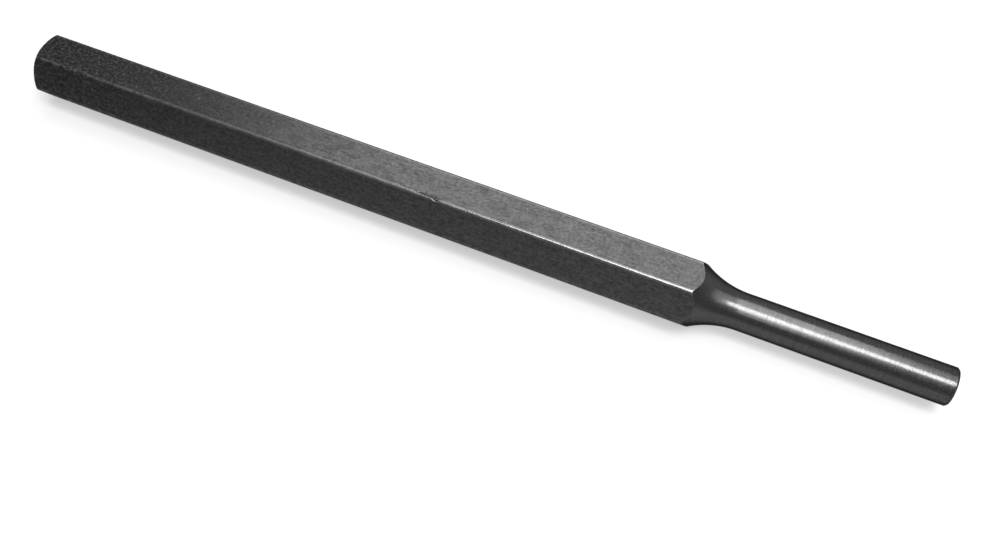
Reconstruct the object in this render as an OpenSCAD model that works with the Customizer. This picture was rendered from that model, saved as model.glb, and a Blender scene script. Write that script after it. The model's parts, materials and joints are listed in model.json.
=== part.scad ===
// Pin punch: a hexagonal steel bar with one end turned down to a long plain pin.
// It lies along X on one of its flats, struck face at the low end, tip at the high end.
// The origin is at the bottom of the bar, under the middle of its length.

/* [Bar] */
// Size of the hexagonal bar across two opposite flats
bar_flats = 7.94; // [6:0.01:16]
// Overall length, from the struck face to the tip face
overall_l = 123.8; // [80:0.1:250]
// Radius on the six long corners of the bar
corner_r = 0.4; // [0.1:0.01:0.6]

/* [Struck end] */
// Radius turned round the rim of the struck face
rim_r = 2; // [1:0.05:3]
// How far the rim's radius swings outside the bar's corners, so that it cuts them off
rim_clear = 0.5; // [0.05:0.01:0.8]

/* [Pin] */
// Diameter of the parallel pin
pin_d = 4.76; // [1.5:0.01:5.5]
// Length of the parallel pin, from the foot of the shoulder to the tip face
pin_l = 24.9; // [10:0.1:60]
// Radius of the turned shoulder that sweeps up from the pin and runs out on the bar's flats
shoulder_r = 10.6; // [4:0.1:20]
// Length of the bevel round the tip, along the pin
tip_bevel_l = 0.2; // [0.1:0.05:1]
// Depth of the bevel round the tip, off the pin's radius
tip_bevel_depth = 0.15; // [0.05:0.05:0.6]

/* [Hidden] */
$fn = 96;
// The bar's flats and corners
sides = 6;
corner_step = 360 / sides;
// How far every cutting shape runs past what it cuts
overrun = 1;

// Centres of the corner radii, and how far the finished corners reach from the axis
corner_centre_r = (bar_flats / 2 - corner_r) / cos(corner_step / 2);
corner_reach = corner_centre_r + corner_r;

// The turned outline stands just outside the corners along the bar
turned_r = corner_reach + rim_clear;
struck_face_r = turned_r - rim_r;

// The pin and the foot of its shoulder, measured from the struck face
pin_r = pin_d / 2;
pin_start = overall_l - pin_l;
tip_face_r = pin_r - tip_bevel_depth;
tip_bevel_start = overall_l - tip_bevel_l;

// A point on the given circle round the origin
function on_circle(radius, angle) = radius * [cos(angle), sin(angle)];

// Angle of each corner: a flat faces each of the multiples of the step
function corner_angle(corner) = (corner + 1 / 2) * corner_step;

// Where each corner radius leaves one flat and meets the next
function corner_ends(corner) = [
    for (side = [-1, 1])
        on_circle(corner_centre_r, corner_angle(corner))
            + on_circle(corner_r, corner_angle(corner) + side * corner_step / 2)
];

// Section of the bar: six flats with a radius on each corner
module bar_section() {
    polygon([for (corner = [0 : sides - 1], end = corner_ends(corner)) end]);
    for (corner = [0 : sides - 1])
        translate(on_circle(corner_centre_r, corner_angle(corner)))
            circle(r = corner_r);
}

// Waste outside the radius round the struck face: X is the radius and Y the length
module rim_waste() {
    difference() {
        translate([struck_face_r, -overrun])
            square([rim_r + overrun, rim_r + overrun]);
        translate([struck_face_r, rim_r])
            circle(r = rim_r);
    }
}

// Waste outside the pin, with the shoulder's radius where the cut runs out on the bar
module pin_waste() {
    translate([pin_r, pin_start])
        square([turned_r, pin_l + overrun]);
    translate([pin_r + shoulder_r, pin_start])
        circle(r = shoulder_r);
}

// Waste outside the bevel round the tip
module tip_waste() {
    polygon([
        [tip_face_r, overall_l],
        [pin_r, tip_bevel_start],
        [pin_r + overrun, tip_bevel_start],
        [pin_r + overrun, overall_l + overrun],
        [tip_face_r, overall_l + overrun]
    ]);
}

// Half outline that the bar is turned to
module turned_outline() {
    difference() {
        square([turned_r, overall_l]);
        rim_waste();
        pin_waste();
        tip_waste();
    }
}

// The whole punch: bar stock inside the turned outline, laid down along X
module punch() {
    color("dimgray")
        translate([-overall_l / 2, 0, bar_flats / 2])
            rotate([0, 90, 0])
                intersection() {
                    translate([0, 0, -overrun])
                        linear_extrude(overall_l + 2 * overrun)
                            bar_section();
                    rotate_extrude()
                        turned_outline();
                }
}

punch();
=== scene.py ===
"""Looks of the pin punch: one bar of blackened hexagonal steel, turned down to a long pin."""

import json
import math

import bpy
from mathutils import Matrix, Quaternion, Vector


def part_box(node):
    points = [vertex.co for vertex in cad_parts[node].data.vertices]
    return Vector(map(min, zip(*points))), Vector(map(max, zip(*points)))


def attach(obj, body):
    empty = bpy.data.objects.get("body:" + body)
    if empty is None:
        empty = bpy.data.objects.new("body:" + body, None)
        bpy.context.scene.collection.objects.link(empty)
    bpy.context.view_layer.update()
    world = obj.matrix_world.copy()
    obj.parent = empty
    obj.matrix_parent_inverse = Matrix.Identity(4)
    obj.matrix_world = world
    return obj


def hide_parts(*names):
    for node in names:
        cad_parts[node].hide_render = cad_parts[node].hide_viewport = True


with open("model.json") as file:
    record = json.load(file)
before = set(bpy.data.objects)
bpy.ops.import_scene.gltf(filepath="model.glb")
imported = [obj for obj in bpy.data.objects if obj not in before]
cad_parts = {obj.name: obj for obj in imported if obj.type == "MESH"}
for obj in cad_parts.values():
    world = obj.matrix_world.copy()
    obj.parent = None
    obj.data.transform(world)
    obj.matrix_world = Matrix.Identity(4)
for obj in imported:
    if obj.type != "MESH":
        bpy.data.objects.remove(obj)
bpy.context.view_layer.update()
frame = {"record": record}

MM = 0.001

# Sizes of the punch, read from the frame where it holds them
LOW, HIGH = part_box("punch")
LENGTH = HIGH.x - LOW.x
ACROSS_FLATS = HIGH.z - LOW.z
ACROSS_CORNERS = HIGH.y - LOW.y
AXIS_HEIGHT = (LOW.z + HIGH.z) / 2

# The record's pin mount runs from the foot of the shoulder to the bevel round the tip
PIN = [mount for mount in frame["record"]["mounts"] if mount["name"] == "pin"][0]
PIN_RADIUS = PIN["dims"]["r_mm"] * MM
PIN_LENGTH = PIN["dims"]["length_mm"] * MM
BEVEL_START = PIN["pos_m"][0] - LOW.x + PIN_LENGTH / 2
PIN_START = BEVEL_START - PIN_LENGTH

# Sides of the bar, and half the angle from one corner to the next
SIDES = 6
HALF_STEP = math.pi / SIDES

# Corner radius of the bar, from how much less it measures across corners than a sharp hexagon
SHARP_CORNERS = ACROSS_FLATS / math.cos(HALF_STEP)
CORNER_RADIUS = (SHARP_CORNERS - ACROSS_CORNERS) / 2 / (1 / math.cos(HALF_STEP) - 1)

# Width of a flat between sharp corners
FLAT_WIDTH = ACROSS_FLATS * math.tan(HALF_STEP)

# Turned sizes that the frame's record doesn't state
RIM_RADIUS = 2.0 * MM
RIM_CLEARANCE = 0.5 * MM
SHOULDER_RADIUS = 10.6 * MM
BEVEL_DEPTH = 0.15 * MM
FACE_RADIUS = ACROSS_CORNERS / 2 + RIM_CLEARANCE - RIM_RADIUS

# Softness that the solids don't have: the radius inside the tip's bevel, and where surfaces meet
TIP_CORNER_RADIUS = 0.04 * MM
EDGE_SOFTNESS = 0.03 * MM

# The skin's columns on half a side, and how strongly they crowd towards the corners
COLUMNS_PER_HALF_SIDE = 18
CORNER_BUNCHING = 2.2
# Rows stand close together within this many softnesses of where the turned surfaces run out
CLOSE_ROWS = 2.5
MERGE_DISTANCE = 0.002 * MM


class Nodes:
    """Short calls for adding nodes to one tree and linking them as they are made."""

    def __init__(self, tree):
        self.tree = tree

    def link(self, value, socket):
        if isinstance(value, bpy.types.NodeSocket):
            self.tree.links.new(value, socket)
        elif value is not None:
            socket.default_value = value

    def add(self, name, inputs=(), **settings):
        node = self.tree.nodes.new(name)
        for key, value in settings.items():
            setattr(node, key, value)
        for key, value in dict(inputs).items():
            self.link(value, node.inputs[key])
        return node

    def math(self, operation, *values):
        return self.add("ShaderNodeMath", dict(enumerate(values)), operation=operation).outputs[0]

    def mix(self, factor, first, second):
        """first where the factor is 0, second where it is 1."""
        step = self.math("SUBTRACT", second, first)
        return self.math("ADD", first, self.math("MULTIPLY", factor, step))

    def square(self, value):
        return self.math("MULTIPLY", value, value)

    def root(self, value):
        """Square root, and 0 below 0."""
        return self.math("SQRT", self.math("MAXIMUM", value, 0.0))

    def leg(self, longest, other):
        """Third side of a triangle with a square corner, from its longest side and another."""
        return self.root(self.math("SUBTRACT", self.square(longest), self.square(other)))

    def smooth(self, value, zero_at, one_at):
        """Eased step from 0 to 1 between the two values, whichever of them is the greater."""
        inputs = {"Value": value, "From Min": zero_at, "From Max": one_at}
        return self.add("ShaderNodeMapRange", inputs, interpolation_type="SMOOTHSTEP").outputs[0]

    def blend(self, factor, first, second):
        """Colour between the first and the second."""
        node = self.add("ShaderNodeMix", data_type="RGBA")
        values = (("Factor", "VALUE", factor), ("A", "RGBA", first), ("B", "RGBA", second))
        for title, kind, value in values:
            socket = [one for one in node.inputs if one.name == title and one.type == kind][0]
            self.link(value, socket)
        return [one for one in node.outputs if one.type == "RGBA"][0]


# Kinds of socket that most groups have
FLOAT = "NodeSocketFloat"
VECTOR = "NodeSocketVector"


def new_group(name, kind, inputs, outputs):
    """An empty node group with the named sockets: those it is given, and those of its result."""
    tree = bpy.data.node_groups.new(name, kind)
    for title, socket, value in inputs:
        made = tree.interface.new_socket(title, in_out="INPUT", socket_type=socket)
        if value is not None:
            made.default_value = value
    for title, socket in outputs:
        tree.interface.new_socket(title, in_out="OUTPUT", socket_type=socket)
    given = tree.nodes.new("NodeGroupInput").outputs
    result = tree.nodes.new("NodeGroupOutput").inputs
    return tree, given, result


# Sizes that the punch's node tree takes, by the names of its inputs
PUNCH_SIZES = {
    "Length": LENGTH,
    "Across Flats": ACROSS_FLATS,
    "Corner Radius": CORNER_RADIUS,
    "Face Radius": FACE_RADIUS,
    "Rim Radius": RIM_RADIUS,
    "Shoulder Radius": SHOULDER_RADIUS,
    "Pin Radius": PIN_RADIUS,
    "Pin Start": PIN_START,
    "Bevel Start": BEVEL_START,
    "Bevel Depth": BEVEL_DEPTH,
    "Tip Corner Radius": TIP_CORNER_RADIUS,
    "Edge Softness": EDGE_SOFTNESS,
}
TURNED_SIZES = [name for name in PUNCH_SIZES if name not in ("Across Flats", "Corner Radius")]


def smooth_lesser(nodes, first, second, softness):
    """The lesser of two lengths, blended where they differ by less than the softness."""
    gap = nodes.math("ABSOLUTE", nodes.math("SUBTRACT", first, second))
    near = nodes.math("MAXIMUM", nodes.math("SUBTRACT", softness, gap), 0.0)
    dip = nodes.math("DIVIDE", nodes.square(near), nodes.math("MULTIPLY", softness, 4.0))
    return nodes.math("SUBTRACT", nodes.math("MINIMUM", first, second), dip)


def tip_corner(nodes, size):
    """Centre of the small radius between the tip's bevel and its face, and where it starts."""
    bevel_length = nodes.math("SUBTRACT", size["Length"], size["Bevel Start"])
    slope = nodes.math("ARCTAN2", size["Bevel Depth"], bevel_length)
    radius = size["Tip Corner Radius"]
    centre_x = nodes.math("SUBTRACT", size["Length"], radius)
    start_x = nodes.math("ADD", centre_x, nodes.math("MULTIPLY", radius, nodes.math("SINE", slope)))
    inward = nodes.math("SUBTRACT", nodes.math("SINE", slope), 1.0)
    inward = nodes.math("MULTIPLY", radius, inward)
    inward = nodes.math("DIVIDE", inward, nodes.math("COSINE", slope))
    tip_radius = nodes.math("SUBTRACT", size["Pin Radius"], size["Bevel Depth"])
    return centre_x, start_x, nodes.math("ADD", tip_radius, inward)


def shoulder_reach(nodes, x, pin_start, pin_radius, sweep):
    """How far the shoulder's hollow radius stands from the axis, and past its foot the pin."""
    ahead = nodes.math("MAXIMUM", nodes.math("SUBTRACT", pin_start, x), 0.0)
    reach = nodes.leg(sweep, ahead)
    return nodes.math("ADD", pin_radius, nodes.math("SUBTRACT", sweep, reach))


def make_turned_radius():
    """Group: how far the turned outline stands from the axis at a distance from the struck face."""
    inputs = [("Distance", FLOAT, None)]
    inputs += [(name, FLOAT, PUNCH_SIZES[name]) for name in TURNED_SIZES]
    outputs = [("Radius", FLOAT)]
    tree, given, result = new_group("turned_radius", "GeometryNodeTree", inputs, outputs)
    nodes = Nodes(tree)
    x = given["Distance"]
    size = {name: given[name] for name in TURNED_SIZES}

    # Rim of the struck face: a quarter round that ends on the bar's envelope
    back = nodes.math("MAXIMUM", nodes.math("SUBTRACT", size["Rim Radius"], x), 0.0)
    rise = nodes.leg(size["Rim Radius"], back)
    rim = nodes.math("ADD", size["Face Radius"], rise)

    # Shoulder: a hollow radius that ends on the pin
    shoulder = shoulder_reach(
        nodes, x, size["Pin Start"], size["Pin Radius"], size["Shoulder Radius"]
    )
    turned = nodes.math("MINIMUM", rim, shoulder)

    # Bevel round the tip, and the small radius between it and the tip's face
    run = nodes.math("SUBTRACT", x, size["Bevel Start"])
    bevel_length = nodes.math("SUBTRACT", size["Length"], size["Bevel Start"])
    fall = nodes.math("DIVIDE", nodes.math("MULTIPLY", run, size["Bevel Depth"]), bevel_length)
    bevel = nodes.math("SUBTRACT", size["Pin Radius"], fall)
    turned = smooth_lesser(nodes, turned, bevel, size["Edge Softness"])
    centre_x, start_x, centre_radius = tip_corner(nodes, size)
    past = nodes.math("SUBTRACT", x, centre_x)
    lift = nodes.leg(size["Tip Corner Radius"], past)
    corner = nodes.math("ADD", centre_radius, lift)
    at_corner = nodes.math("GREATER_THAN", x, start_x)
    nodes.link(nodes.mix(at_corner, turned, corner), result["Radius"])
    return tree


def make_bar_radius():
    """Group: the angle of each column of the punch's skin, and how far the bar reaches there."""
    inputs = [
        ("Turn", FLOAT, None),
        ("Across Flats", FLOAT, ACROSS_FLATS),
        ("Corner Radius", FLOAT, CORNER_RADIUS),
    ]
    outputs = [("Radius", FLOAT), ("Angle", FLOAT)]
    tree, given, result = new_group("bar_radius", "GeometryNodeTree", inputs, outputs)
    nodes = Nodes(tree)

    # Columns crowd towards the corners, where the section bends
    corners = nodes.math("MULTIPLY", given["Turn"], float(SIDES))
    nearest = nodes.math("ROUND", corners)
    from_corner = nodes.math("SUBTRACT", corners, nearest)
    away = nodes.math("MULTIPLY", nodes.math("ABSOLUTE", from_corner), 2.0)
    bunched = nodes.math("MULTIPLY", nodes.math("POWER", away, CORNER_BUNCHING), HALF_STEP)
    offset = nodes.math("MULTIPLY", nodes.math("SIGN", from_corner), bunched)
    corner_angle = nodes.math("MULTIPLY", nearest, 2 * HALF_STEP)

    # Reach of the flat, and of the corner's own radius
    half_flats = nodes.math("DIVIDE", given["Across Flats"], 2.0)
    radius = given["Corner Radius"]
    centre = nodes.math("DIVIDE", nodes.math("SUBTRACT", half_flats, radius), math.cos(HALF_STEP))
    flat = nodes.math("COSINE", nodes.math("SUBTRACT", HALF_STEP, bunched))
    flat = nodes.math("DIVIDE", half_flats, flat)
    across = nodes.math("MULTIPLY", centre, nodes.math("SINE", bunched))
    along = nodes.math("MULTIPLY", centre, nodes.math("COSINE", bunched))
    depth = nodes.leg(radius, across)
    rounded = nodes.math("ADD", along, depth)
    end_across = nodes.math("MULTIPLY", radius, math.sin(HALF_STEP))
    end_along = nodes.math("ADD", centre, nodes.math("MULTIPLY", radius, math.cos(HALF_STEP)))
    corner_end = nodes.math("ARCTAN2", end_across, end_along)
    on_flat = nodes.math("GREATER_THAN", bunched, corner_end)
    nodes.link(nodes.mix(on_flat, rounded, flat), result["Radius"])
    nodes.link(nodes.math("ADD", corner_angle, offset), result["Angle"])
    return tree


def make_punch_tree():
    """The punch's skin as grids of rows and columns, one grid for each stretch of its length."""
    sockets = [(name, FLOAT, value) for name, value in PUNCH_SIZES.items()]
    sockets += [(name, "NodeSocketMaterial", None) for name in ("Drawn Steel", "Turned Steel")]
    tree, given, result = new_group(
        "punch_skin", "GeometryNodeTree", sockets, [("Geometry", "NodeSocketGeometry")]
    )
    tree.is_modifier = True
    nodes = Nodes(tree)
    size = {name: given[name] for name in PUNCH_SIZES}

    # A grid is 1 by 1 round its own middle, and half of that is added to make both run from 0 to 1:
    # the turn round the axis, and the share of the stretch
    position = nodes.add("GeometryNodeInputPosition").outputs[0]
    place = nodes.add("ShaderNodeSeparateXYZ", {0: position})
    turn = nodes.math("ADD", place.outputs[0], 0.5)
    share = nodes.math("ADD", place.outputs[1], 0.5)

    bar = nodes.add("GeometryNodeGroup", node_tree=make_bar_radius())
    nodes.link(turn, bar.inputs["Turn"])
    for name in ("Across Flats", "Corner Radius"):
        nodes.link(size[name], bar.inputs[name])
    bar_radius = bar.outputs["Radius"]
    angle = bar.outputs["Angle"]

    # Where the rim and the shoulder run out on this column of the bar
    above_face = nodes.math("SUBTRACT", bar_radius, size["Face Radius"])
    drop = nodes.leg(size["Rim Radius"], above_face)
    rim_end = nodes.math("SUBTRACT", size["Rim Radius"], drop)
    above_pin = nodes.math("SUBTRACT", bar_radius, size["Pin Radius"])
    below = nodes.math("SUBTRACT", size["Shoulder Radius"], above_pin)
    run = nodes.leg(size["Shoulder Radius"], below)
    shoulder_end = nodes.math("SUBTRACT", size["Pin Start"], run)
    margin = nodes.math("MULTIPLY", size["Edge Softness"], CLOSE_ROWS)
    corner_start, tip_face_radius = tip_corner(nodes, size)[1:]

    def shifted(value, sign):
        """The value less the margin for a sign of -1, and the two together for 1."""
        return nodes.math("MULTIPLY_ADD", margin, sign, value)

    turned_tree = make_turned_radius()
    # Shares whose rows stand closer together at the start, and at the end
    early = nodes.square(share)
    late = nodes.math("SUBTRACT", 1.0, nodes.square(nodes.math("SUBTRACT", 1.0, share)))

    # Each stretch: its rows, how they are spread, its start and end, and whether it is turned
    stretches = [
        (22, early, 0.0, shifted(rim_end, -1.0), True),
        (6, share, shifted(rim_end, -1.0), rim_end, True),
        (6, share, rim_end, shifted(rim_end, 1.0), False),
        (120, share, shifted(rim_end, 1.0), shifted(shoulder_end, -1.0), False),
        (6, share, shifted(shoulder_end, -1.0), shoulder_end, False),
        (6, share, shoulder_end, shifted(shoulder_end, 1.0), True),
        (44, share, shifted(shoulder_end, 1.0), size["Pin Start"], True),
        (32, share, size["Pin Start"], shifted(size["Bevel Start"], -1.0), True),
        (14, share, shifted(size["Bevel Start"], -1.0), corner_start, True),
        (8, late, corner_start, size["Length"], True),
    ]
    # Flat ends: rows, where along the punch, and the radii that they run between
    ends = [(12, 0.0, 0.0, size["Face Radius"]), (10, size["Length"], tip_face_radius, 0.0)]

    join = nodes.add("GeometryNodeJoinGeometry")

    def skin(rows, along, radius, turned):
        """One grid, laid round the axis at the given reach."""
        columns = SIDES * 2 * COLUMNS_PER_HALF_SIDE + 1
        grid = nodes.add(
            "GeometryNodeMeshGrid",
            {"Size X": 1.0, "Size Y": 1.0, "Vertices X": columns, "Vertices Y": rows + 1},
        )
        across = nodes.math("MULTIPLY", radius, nodes.math("COSINE", angle))
        up = nodes.math("MULTIPLY", radius, nodes.math("SINE", angle))
        point = nodes.add("ShaderNodeCombineXYZ", {0: nodes.math("ADD", along, LOW.x), 1: across})
        nodes.link(nodes.math("ADD", up, AXIS_HEIGHT), point.inputs[2])
        moved = nodes.add(
            "GeometryNodeSetPosition",
            {"Geometry": grid.outputs["Mesh"], "Position": point.outputs[0]},
        )
        finish = nodes.add("GeometryNodeSetMaterial", {"Geometry": moved.outputs[0]})
        nodes.link(given["Turned Steel" if turned else "Drawn Steel"], finish.inputs["Material"])
        nodes.link(finish.outputs[0], join.inputs[0])

    for rows, spread, first, last, turned in stretches:
        along = nodes.mix(spread, first, last)
        outline = nodes.add("GeometryNodeGroup", node_tree=turned_tree)
        nodes.link(along, outline.inputs["Distance"])
        for name in TURNED_SIZES:
            nodes.link(size[name], outline.inputs[name])
        radius = smooth_lesser(nodes, bar_radius, outline.outputs[0], size["Edge Softness"])
        skin(rows, along, radius, turned)
    for rows, along, first, last in ends:
        skin(rows, along, nodes.mix(share, first, last), True)

    merged = nodes.add(
        "GeometryNodeMergeByDistance",
        {"Geometry": join.outputs[0], "Distance": MERGE_DISTANCE},
    )
    shaded = nodes.add(
        "GeometryNodeSetShadeSmooth",
        {"Geometry": merged.outputs[0], "Shade Smooth": True},
    )
    real = nodes.add("GeometryNodeRealizeInstances", {"Geometry": shaded.outputs[0]})
    nodes.link(real.outputs[0], result["Geometry"])
    return tree


def make_punch(drawn_steel, turned_steel):
    """The punch as a plain mesh, made by its node tree."""
    holder = bpy.data.objects.new("punch_skin_maker", bpy.data.meshes.new("punch_skin_maker"))
    bpy.context.scene.collection.objects.link(holder)
    tree = make_punch_tree()
    modifier = holder.modifiers.new("punch_skin", "NODES")
    modifier.node_group = tree
    values = dict(PUNCH_SIZES)
    values["Drawn Steel"] = drawn_steel
    values["Turned Steel"] = turned_steel
    for item in tree.interface.items_tree:
        if item.in_out == "INPUT":
            modifier[item.identifier] = values[item.name]
    bpy.context.view_layer.update()
    evaluated = holder.evaluated_get(bpy.context.evaluated_depsgraph_get())
    mesh = bpy.data.meshes.new_from_object(evaluated)
    mesh.name = "black_steel_punch"
    # The grids bring an empty material slot with them
    while None in list(mesh.materials):
        mesh.materials.pop(index=list(mesh.materials).index(None))
    holder.modifiers.remove(modifier)
    bpy.data.objects.remove(holder)
    piece = bpy.data.objects.new("black_steel_punch", mesh)
    bpy.context.scene.collection.objects.link(piece)
    return piece


# Detail of the noise in the grain and in the rubbed corners with their painted highlight, and the
# roughness of both
GRAIN_DETAIL = 4.0
RUB_DETAIL = 3.0
NOISE_ROUGHNESS = 0.6


def make_grain():
    """Group: fine mottling, made the given number of times as long along the bar."""
    inputs = [
        ("Vector", VECTOR, None),
        ("Fineness", FLOAT, 3000.0),
        ("Stretch", FLOAT, 1.0),
    ]
    tree, given, result = new_group("steel_grain", "ShaderNodeTree", inputs, [("Value", FLOAT)])
    nodes = Nodes(tree)
    squeezed = nodes.math("DIVIDE", 1.0, given["Stretch"])
    squeeze = nodes.add("ShaderNodeCombineXYZ", {0: squeezed, 1: 1.0, 2: 1.0})
    place = nodes.add(
        "ShaderNodeVectorMath",
        {0: given["Vector"], 1: squeeze.outputs[0]},
        operation="MULTIPLY",
    )
    noise = nodes.add(
        "ShaderNodeTexNoise",
        {
            "Vector": place.outputs[0],
            "Scale": given["Fineness"],
            "Detail": GRAIN_DETAIL,
            "Roughness": NOISE_ROUGHNESS,
        },
    )
    nodes.link(noise.outputs[0], result["Value"])
    return tree


def make_axis_place():
    """Group: how far a point is from the axis and along it, and masks of the punch's upper side
    and of the flat on top. A pattern on the place called Round runs round the axis."""
    inputs = [
        ("Vector", VECTOR, None),
        ("Axis Height", FLOAT, AXIS_HEIGHT),
        ("Upper Full", FLOAT, ACROSS_FLATS / 4),
        ("Top From", FLOAT, ACROSS_FLATS * 0.44),
        ("Top Full", FLOAT, ACROSS_FLATS * 0.49),
    ]
    outputs = [
        ("Radius", FLOAT),
        ("Along", FLOAT),
        ("Upper", FLOAT),
        ("Top", FLOAT),
        ("Round", VECTOR),
    ]
    tree, given, result = new_group("axis_place", "ShaderNodeTree", inputs, outputs)
    nodes = Nodes(tree)
    place = nodes.add("ShaderNodeSeparateXYZ", {0: given["Vector"]})
    up = nodes.math("SUBTRACT", place.outputs[2], given["Axis Height"])
    radius = nodes.root(nodes.math("ADD", nodes.square(place.outputs[1]), nodes.square(up)))
    round_axis = nodes.add("ShaderNodeCombineXYZ", {0: place.outputs[0], 1: radius})
    nodes.link(radius, result["Radius"])
    nodes.link(place.outputs[0], result["Along"])
    nodes.link(nodes.smooth(up, 0.0, given["Upper Full"]), result["Upper"])
    top = nodes.smooth(up, given["Top From"], given["Top Full"])
    nodes.link(top, result["Top"])
    nodes.link(round_axis.outputs[0], result["Round"])
    return tree


def make_corner_rub_and_glint():
    """Group: how far handling has rubbed the black off the bar's upper corners, in broken runs. The
    lighter steel also paints a highlight along the corners, growing towards the shoulder where
    their glint is brightest.
    """
    inputs = [
        ("Vector", VECTOR, None),
        ("Radius", FLOAT, None),
        ("Along", FLOAT, None),
        ("Upper", FLOAT, None),
        ("Ends", FLOAT, None),
        ("Start Radius", FLOAT, ACROSS_CORNERS / 2 - 0.11 * MM),
        ("Full Radius", FLOAT, ACROSS_CORNERS / 2 - 0.035 * MM),
        ("Least", FLOAT, 0.85),
        # The rub grows towards the shoulder, as the painted highlight along the corners does
        ("Grows From", FLOAT, -12.0 * MM),
        ("Grows To", FLOAT, 18.0 * MM),
        ("Fineness", FLOAT, 1500.0),
        ("Runs From", FLOAT, 0.4),
        ("Runs Full", FLOAT, 0.6),
        ("Least Between", FLOAT, 0.65),
    ]
    tree, given, result = new_group("corner_rub_and_glint", "ShaderNodeTree", inputs, [("Mask", FLOAT)])
    nodes = Nodes(tree)
    band = nodes.smooth(given["Radius"], given["Start Radius"], given["Full Radius"])
    growth = nodes.smooth(given["Along"], given["Grows From"], given["Grows To"])
    amount = nodes.mix(growth, given["Least"], 1.0)
    runs = nodes.add(
        "ShaderNodeTexNoise",
        {
            "Vector": given["Vector"],
            "Scale": given["Fineness"],
            "Detail": RUB_DETAIL,
            "Roughness": NOISE_ROUGHNESS,
        },
    )
    between = nodes.mix(given["Ends"], given["Least Between"], 0.0)
    in_run = nodes.smooth(runs.outputs[0], given["Runs From"], given["Runs Full"])
    broken = nodes.mix(in_run, between, 1.0)
    mask = nodes.math("MULTIPLY", nodes.math("MULTIPLY", band, amount), broken)
    # Only on the upper corners, which carry the painted highlight
    nodes.link(nodes.math("MULTIPLY", mask, given["Upper"]), result["Mask"])
    return tree


def make_specks():
    """Group: small scattered specks, in only some of the cells that the steel is divided into."""
    inputs = [
        ("Vector", VECTOR, None),
        ("Fineness", FLOAT, 500.0),
        ("Size", FLOAT, 0.2),
        ("Share", FLOAT, 0.2),
    ]
    tree, given, result = new_group("specks", "ShaderNodeTree", inputs, [("Mask", FLOAT)])
    nodes = Nodes(tree)
    cells = nodes.add(
        "ShaderNodeTexVoronoi",
        {"Vector": given["Vector"], "Scale": given["Fineness"], "Randomness": 1.0},
    )
    chosen = nodes.add("ShaderNodeSeparateXYZ", {0: cells.outputs["Color"]}).outputs[0]
    chosen = nodes.math("LESS_THAN", chosen, given["Share"])
    dot = nodes.smooth(cells.outputs["Distance"], given["Size"], 0.0)
    nodes.link(nodes.math("MULTIPLY", dot, chosen), result["Mask"])
    return tree


def make_run_out_glint():
    """Group: the thin bright line where the flats end at the shoulder, and the bare ends of the
    corners there. Both are lighter steel on the upper side only, which paints a glint along that
    edge and at each corner's end."""
    inputs = [
        ("Radius", FLOAT, None),
        ("Along", FLOAT, None),
        ("Upper", FLOAT, None),
        ("Pin Start", FLOAT, LOW.x + PIN_START),
        ("Pin Radius", FLOAT, PIN_RADIUS),
        ("Shoulder Radius", FLOAT, SHOULDER_RADIUS),
        ("Width", FLOAT, 0.09 * MM),
        ("Corner Width", FLOAT, 0.16 * MM),
        ("Corner From", FLOAT, ACROSS_CORNERS / 2 - 0.16 * MM),
        ("Corner Full", FLOAT, ACROSS_CORNERS / 2 - 0.05 * MM),
    ]
    outputs = [("Mask", FLOAT), ("Corner End Glint", FLOAT)]
    tree, given, result = new_group("run_out_glint", "ShaderNodeTree", inputs, outputs)
    nodes = Nodes(tree)
    shoulder = shoulder_reach(
        nodes, given["Along"], given["Pin Start"], given["Pin Radius"], given["Shoulder Radius"]
    )
    gap = nodes.math("SUBTRACT", shoulder, given["Radius"])
    line = nodes.smooth(gap, given["Width"], 0.0)
    nodes.link(nodes.math("MULTIPLY", line, given["Upper"]), result["Mask"])
    near = nodes.smooth(gap, given["Corner Width"], 0.0)
    near = nodes.math("MULTIPLY", near, given["Upper"])
    corner = nodes.smooth(given["Radius"], given["Corner From"], given["Corner Full"])
    nodes.link(nodes.math("MULTIPLY", near, corner), result["Corner End Glint"])
    return tree


def make_end_marks():
    """Group: the two ends of the punch, where blows and handling have worn the black most."""
    inputs = [
        ("Along", FLOAT, None),
        ("Struck End", FLOAT, LOW.x),
        ("Tip", FLOAT, HIGH.x),
        ("Struck Reach", FLOAT, 30.0 * MM),
        ("Tip Reach", FLOAT, 2.0 * MM),
    ]
    tree, given, result = new_group("end_marks", "ShaderNodeTree", inputs, [("Mask", FLOAT)])
    nodes = Nodes(tree)
    struck_to = nodes.math("ADD", given["Struck End"], given["Struck Reach"])
    struck = nodes.smooth(given["Along"], struck_to, given["Struck End"])
    tip_from = nodes.math("SUBTRACT", given["Tip"], given["Tip Reach"])
    tip = nodes.smooth(given["Along"], tip_from, given["Tip"])
    nodes.link(nodes.math("MAXIMUM", struck, tip), result["Mask"])
    return tree


def make_knock():
    """Group: a shallow dent round a middle point, at full depth over the share called Floor."""
    inputs = [
        ("Vector", VECTOR, None),
        ("Middle", VECTOR, None),
        ("Half Size", VECTOR, None),
        ("Floor", FLOAT, 0.5),
    ]
    tree, given, result = new_group("knock", "ShaderNodeTree", inputs, [("Mask", FLOAT)])
    nodes = Nodes(tree)
    away = nodes.add(
        "ShaderNodeVectorMath",
        {0: given["Vector"], 1: given["Middle"]},
        operation="SUBTRACT",
    )
    shares = nodes.add(
        "ShaderNodeVectorMath",
        {0: away.outputs[0], 1: given["Half Size"]},
        operation="DIVIDE",
    )
    distance = nodes.add("ShaderNodeVectorMath", {0: shares.outputs[0]}, operation="LENGTH")
    nodes.link(nodes.smooth(distance.outputs["Value"], 1.0, given["Floor"]), result["Mask"])
    return tree


def grey(tone):
    """A plain grey as a colour."""
    return (tone, tone, tone, 1.0)


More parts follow.
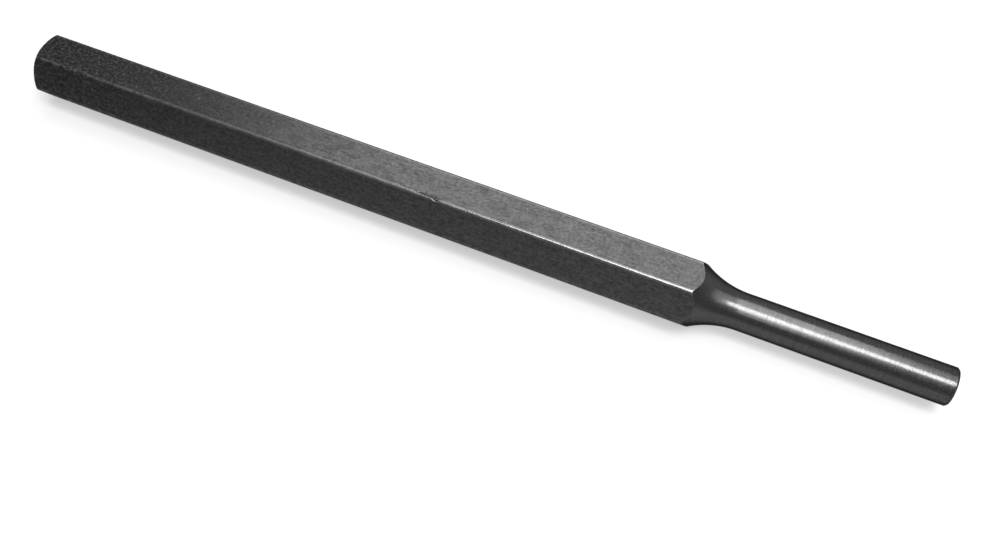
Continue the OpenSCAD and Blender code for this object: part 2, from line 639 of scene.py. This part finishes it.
# The black, what shows where it is rubbed, which also paints a highlight along the upper corners
# and
# # where the flats end, in specks, and where it is bare at the corners' ends, a painted glint, and
# the
# # tint of the reflections that are seen edge on
BLACK_OXIDE = (0.06, 0.06, 0.06)
RUBBED_STEEL_AND_GLINT = grey(0.17)
SPECK_GREY = grey(0.18)
BARE_STEEL_GLINT = grey(0.28)
EDGE_TINT = grey(0.3)

# Knocks on the near upper corner of the bar: middle along the bar, how far in from the corner on
# the flat on top, half sizes and depth
KNOCKS = [
    (-3.4 * MM, 0.27 * MM, (2.1 * MM, 0.22 * MM, 0.3 * MM), 0.055 * MM),
    (-2.3 * MM, 0.02 * MM, (0.6 * MM, 0.15 * MM, 0.3 * MM), 0.04 * MM),
    (-56.3 * MM, 0.06 * MM, (0.5 * MM, 0.18 * MM, 0.3 * MM), 0.03 * MM),
    (-53.4 * MM, 0.02 * MM, (0.3 * MM, 0.14 * MM, 0.3 * MM), 0.02 * MM),
    (1.9 * MM, 0.05 * MM, (0.13 * MM, 0.09 * MM, 0.3 * MM), 0.03 * MM),
]
# Painted shade in a knock: the black there, as a share of the black elsewhere
KNOCK_PAINTED_SHADE = 0.7

# How strongly the black is worn lighter in spots at the ends, on the sides and on the flat on top
END_WEAR_SIDE = 3.0
END_WEAR_TOP = 8.0
# The black between those spots, as a share of the black elsewhere
END_GROUND = 0.84

# Value that the noise of the grain lies round
NOISE_MIDDLE = 0.5
# How much the lines count in the height of the grain, beside the mottling
LINE_HEIGHT = 0.5

# How the two finishes differ. Fineness is cells to the metre, and stretch is how many times as long
# as wide they are. A swing is how strongly the noise moves the tone of the black. The patches also
# dull it, between two values of their noise. The lines run along the bar, or where round is true,
# round its axis.
DRAWN_FINISH = {
    "round": False,
    "mottle_fineness": 3400.0,
    "mottle_stretch": 1.5,
    "mottle_swing": 2.0,
    "line_fineness": 4200.0,
    "line_stretch": 14.0,
    "line_swing": 0.75,
    "patch_fineness": 900.0,
    "patch_stretch": 1.5,
    "patch_swing": 0.5,
    "roughness": 0.26,
    "dull_roughness": 0.33,
    "dull_from": 0.46,
    "dull_to": 0.62,
    "speck_fineness": 800.0,
    "speck_share": 0.5,
    # Strength of the painted glint where the flats end, and at the corners' ends
    "run_out_glint": 0.2,
    "corner_ends": 1.0,
    "knocks": KNOCKS,
    "bump": 0.004 * MM,
}
TURNED_FINISH = {
    "round": True,
    "mottle_fineness": 5000.0,
    "mottle_stretch": 1.0,
    "mottle_swing": 1.1,
    "line_fineness": 5200.0,
    "line_stretch": 1.0,
    "line_swing": 0.6,
    "patch_fineness": 24000.0,
    "patch_stretch": 1.0,
    "patch_swing": 0.0,
    "roughness": 0.16,
    "dull_roughness": 0.5,
    "dull_from": 0.44,
    "dull_to": 0.66,
    "speck_fineness": 800.0,
    "speck_share": 0.3,
    "run_out_glint": 0.0,
    "corner_ends": 0.0,
    "knocks": [],
    "bump": 0.001 * MM,
}


def make_black_steel(name, groups, settings):
    """Blackened steel whose grain suits how the surface was made."""
    material = bpy.data.materials.new(name)
    material.use_nodes = True
    material.node_tree.nodes.clear()
    nodes = Nodes(material.node_tree)
    place = nodes.add("ShaderNodeTexCoord").outputs["Object"]

    def call(group, **inputs):
        """Outputs of a group, given its inputs: half_size stands for Half Size, and so on."""
        node = nodes.add("ShaderNodeGroup", node_tree=groups[group])
        for key, value in inputs.items():
            nodes.link(value, node.inputs[key.replace("_", " ").title()])
        return node.outputs

    def grain(kind, vector):
        """Noise of the finish's own fineness and stretch."""
        fineness = settings[kind + "_fineness"]
        stretch = settings[kind + "_stretch"]
        return call("steel_grain", vector=vector, fineness=fineness, stretch=stretch)[0]

    axis = call("axis_place", vector=place)
    where = {"radius": axis["Radius"], "along": axis["Along"], "upper": axis["Upper"]}
    mottle = grain("mottle", place)
    lines = grain("line", axis["Round"] if settings["round"] else place)
    patches = grain("patch", place)
    ends = call("end_marks", along=axis["Along"])[0]
    rub_and_glint = call("corner_rub_and_glint", vector=place, ends=ends, **where)[0]
    run_out_glint = call("run_out_glint", **where)
    run_out_glint_line = nodes.math("MULTIPLY", run_out_glint["Mask"], settings["run_out_glint"])
    speck_share = nodes.math("MULTIPLY", ends, settings["speck_share"])
    specks = call("specks", vector=place, fineness=settings["speck_fineness"], share=speck_share)[0]

    # Knocks: all the dents as one mask, and how deep they are
    dents = 0.0
    sunk = 0.0
    for along, across, half_size, depth in settings["knocks"]:
        middle = (along, across - FLAT_WIDTH / 2, HIGH.z)
        dent = call("knock", vector=place, middle=middle, half_size=half_size)[0]
        dents = nodes.math("MAXIMUM", dents, dent)
        sunk = nodes.math("MAXIMUM", sunk, nodes.math("MULTIPLY", dent, depth))

    # Colour: the black, its mottling and tool lines, darker in the knocks as painted shade, then
    # specks, and over them rubbed edges and the line where the flats end, lighter steel that also
    # paints a highlight
    uneven = nodes.math("SUBTRACT", mottle, NOISE_MIDDLE)
    worn = nodes.math("MULTIPLY", ends, nodes.mix(axis["Top"], END_WEAR_SIDE, END_WEAR_TOP))
    ground = nodes.mix(ends, 1.0, END_GROUND)
    tone = nodes.math("MULTIPLY_ADD", uneven, settings["mottle_swing"], ground)
    tone = nodes.math("MULTIPLY_ADD", nodes.math("MAXIMUM", uneven, 0.0), worn, tone)
    lined = nodes.math("SUBTRACT", lines, NOISE_MIDDLE)
    tone = nodes.math("MULTIPLY_ADD", lined, settings["line_swing"], tone)
    patched = nodes.math("SUBTRACT", NOISE_MIDDLE, patches)
    tone = nodes.math("MULTIPLY_ADD", patched, settings["patch_swing"], tone)
    # Painted shade: the black is darker inside the knocks
    tone = nodes.math("MULTIPLY", tone, nodes.mix(dents, 1.0, KNOCK_PAINTED_SHADE))
    black = nodes.add("ShaderNodeVectorMath", {0: BLACK_OXIDE}, operation="SCALE")
    nodes.link(tone, black.inputs["Scale"])
    colour = nodes.blend(specks, black.outputs[0], SPECK_GREY)
    rub_and_glint = nodes.math("MULTIPLY", rub_and_glint, nodes.math("SUBTRACT", 1.0, dents))
    colour = nodes.blend(nodes.math("MAXIMUM", rub_and_glint, run_out_glint_line), colour, RUBBED_STEEL_AND_GLINT)
    # Bare steel at the corners' ends, a painted glint
    bare_glint = nodes.math("MULTIPLY", run_out_glint["Corner End Glint"], settings["corner_ends"])
    colour = nodes.blend(bare_glint, colour, BARE_STEEL_GLINT)

    # Gloss: even, with duller patches in it. Height: the grain, less the knocks
    dull = nodes.smooth(patches, settings["dull_from"], settings["dull_to"])
    rough = nodes.mix(dull, settings["roughness"], settings["dull_roughness"])
    height = nodes.math("MULTIPLY_ADD", lines, LINE_HEIGHT, mottle)
    height = nodes.math("MULTIPLY", height, settings["bump"])
    height = nodes.math("SUBTRACT", height, sunk)
    bump = nodes.add("ShaderNodeBump", {"Height": height, "Distance": 1.0})

    shader = nodes.add("ShaderNodeBsdfPrincipled")
    shader.inputs["Metallic"].default_value = 1.0
    shader.inputs["Specular Tint"].default_value = EDGE_TINT
    nodes.link(colour, shader.inputs["Base Color"])
    nodes.link(rough, shader.inputs["Roughness"])
    nodes.link(bump.outputs[0], shader.inputs["Normal"])
    output = nodes.add("ShaderNodeOutputMaterial")
    nodes.link(shader.outputs[0], output.inputs["Surface"])
    return material


# Floor: half its side, its colour, and what it adds of its own where it is seen, to come out white
FLOOR_HALF_SIDE = 2.0
FLOOR_COLOUR = grey(0.26)
FLOOR_LIFT = 0.5


def seen_directly(nodes):
    """1 for rays from the camera and for reflections and refractions, 0 for the rest."""
    path = nodes.add("ShaderNodeLightPath")
    direct = nodes.math("MAXIMUM", path.outputs["Is Camera Ray"], path.outputs["Is Glossy Ray"])
    return nodes.math("MAXIMUM", direct, path.outputs["Is Transmission Ray"])


def make_floor():
    """Plain white floor under the flat that the punch lies on."""
    mesh = bpy.data.meshes.new("floor")
    half = FLOOR_HALF_SIDE
    corners = ((-half, -half), (half, -half), (half, half), (-half, half))
    mesh.from_pydata([(x, y, LOW.z) for x, y in corners], [], [(0, 1, 2, 3)])
    floor = bpy.data.objects.new("floor", mesh)
    bpy.context.scene.collection.objects.link(floor)
    material = bpy.data.materials.new("white_floor")
    material.use_nodes = True
    material.node_tree.nodes.clear()
    nodes = Nodes(material.node_tree)
    paint = nodes.add("ShaderNodeBsdfDiffuse", {"Color": FLOOR_COLOUR})
    lift = nodes.add("ShaderNodeEmission", {"Color": grey(1.0)})
    nodes.link(nodes.math("MULTIPLY", seen_directly(nodes), FLOOR_LIFT), lift.inputs["Strength"])
    both = nodes.add("ShaderNodeAddShader", {0: paint.outputs[0], 1: lift.outputs[0]})
    output = nodes.add("ShaderNodeOutputMaterial")
    nodes.link(both.outputs[0], output.inputs["Surface"])
    mesh.materials.append(material)


# Greys of the surroundings, where left is beyond the struck end
LOW_LEFT = grey(0.0)
LEFT = grey(0.3)
LOW_FRONT = grey(0.75)
FRONT = grey(0.42)
BACK = grey(0.95)
OVERHEAD = grey(0.55)

# Between which places one grey passes into the next, by height, across or along, on a sphere with
# a radius of 1
FRONT_RISE = (0.0, 0.25)
FRONT_TO_BACK = (0.0, 0.6)
LEFT_RISE = (0.15, 0.4)
LEFT_TO_MIDDLE = (-0.75, 0.0)
RISE_TO_OVERHEAD = (0.4, 0.75)


def make_world():
    """Grey surroundings: palest behind and low in front, and black low beyond the struck end."""
    world = bpy.data.worlds.new("pale_studio")
    bpy.context.scene.world = world
    world.use_nodes = True
    world.node_tree.nodes.clear()
    nodes = Nodes(world.node_tree)
    direction = nodes.add("ShaderNodeTexCoord").outputs["Object"]
    along, across, height = nodes.add("ShaderNodeSeparateXYZ", {0: direction}).outputs
    front = nodes.blend(nodes.smooth(height, *FRONT_RISE), LOW_FRONT, FRONT)
    shade = nodes.blend(nodes.smooth(across, *FRONT_TO_BACK), front, BACK)
    left = nodes.blend(nodes.smooth(height, *LEFT_RISE), LOW_LEFT, LEFT)
    shade = nodes.blend(nodes.smooth(along, *LEFT_TO_MIDDLE), left, shade)
    shade = nodes.blend(nodes.smooth(height, *RISE_TO_OVERHEAD), shade, OVERHEAD)
    background = nodes.add("ShaderNodeBackground", {"Color": shade})
    output = nodes.add("ShaderNodeOutputWorld")
    nodes.link(background.outputs[0], output.inputs["Surface"])


# Each lamp hangs a step above the one before, because where two in one plane overlap, the light
# of only one of them counts
LAMP_HEIGHT = 0.40
LAMP_STEP = 0.5 * MM

# Soft lamps over the punch: middle along X and Y, width, depth and brightness, where a brightness
# of 1 is that of a white card in plain light
LAMPS = {
    "softbox_right": (0.0955, 0.140, 0.095, 0.310, 6.1),
    "softbox_left": (-0.105, 0.225, 0.274, 0.160, 3.2),
    "softbox_rim": (-0.090, 0.390, 0.320, 0.170, 2.1),
    "shoulder_glow": (0.285, 0.025, 0.230, 0.470, 1.9),
    "overhead_right": (0.139, -0.084, 0.174, 0.134, 19.5),
    "overhead_left": (-0.008, -0.062, 0.140, 0.096, 18.0),
    "front_fill": (0.080, -0.187, 0.090, 0.106, 11.0),
    "front_outer": (0.080, -0.335, 0.090, 0.190, 3.8),
}


def add_lamp(name, height, along, across, width, depth, brightness):
    """A soft lamp that shines straight down."""
    light = bpy.data.lights.new(name, "AREA")
    light.shape = "RECTANGLE"
    light.size = width
    light.size_y = depth
    light.energy = brightness * math.pi * width * depth
    lamp = bpy.data.objects.new(name, light)
    bpy.context.scene.collection.objects.link(lamp)
    lamp.location = (along, across, height)


# Camera of the photograph: where it stands and looks, how it is turned, its lens and sensor width,
# and how near it sees
CAMERA_PLACE = Vector((30.135, -64.692, 104.718)) * MM
CAMERA_AIM = Vector((8.069, -6.271, 3.97)) * MM
CAMERA_ROLL = math.radians(2.401)
CAMERA_LENS = 34.884
SENSOR_WIDTH = 36.0
NEAREST_SEEN = 10.0 * MM


def make_camera():
    """The scene's camera, at the photograph's viewing angle."""
    data = bpy.data.cameras.new("photo_camera")
    data.sensor_width = SENSOR_WIDTH
    data.lens = CAMERA_LENS
    data.clip_start = NEAREST_SEEN
    camera = bpy.data.objects.new("photo_camera", data)
    bpy.context.scene.collection.objects.link(camera)
    camera.location = CAMERA_PLACE
    camera.rotation_mode = "QUATERNION"
    upright = (CAMERA_AIM - CAMERA_PLACE).to_track_quat("-Z", "Y")
    camera.rotation_quaternion = upright @ Quaternion((0, 0, 1), CAMERA_ROLL)
    bpy.context.scene.camera = camera


make_camera()
groups = {
    "steel_grain": make_grain(),
    "axis_place": make_axis_place(),
    "corner_rub_and_glint": make_corner_rub_and_glint(),
    "specks": make_specks(),
    "run_out_glint": make_run_out_glint(),
    "end_marks": make_end_marks(),
    "knock": make_knock(),
}
drawn_steel = make_black_steel("drawn_black_steel", groups, DRAWN_FINISH)
turned_steel = make_black_steel("turned_black_steel", groups, TURNED_FINISH)
punch = make_punch(drawn_steel, turned_steel)
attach(punch, "root")
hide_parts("punch")

make_floor()
make_world()
for number, (name, lamp) in enumerate(LAMPS.items()):
    add_lamp(name, LAMP_HEIGHT + number * LAMP_STEP, *lamp)
bpy.context.scene.view_settings.view_transform = "Standard"
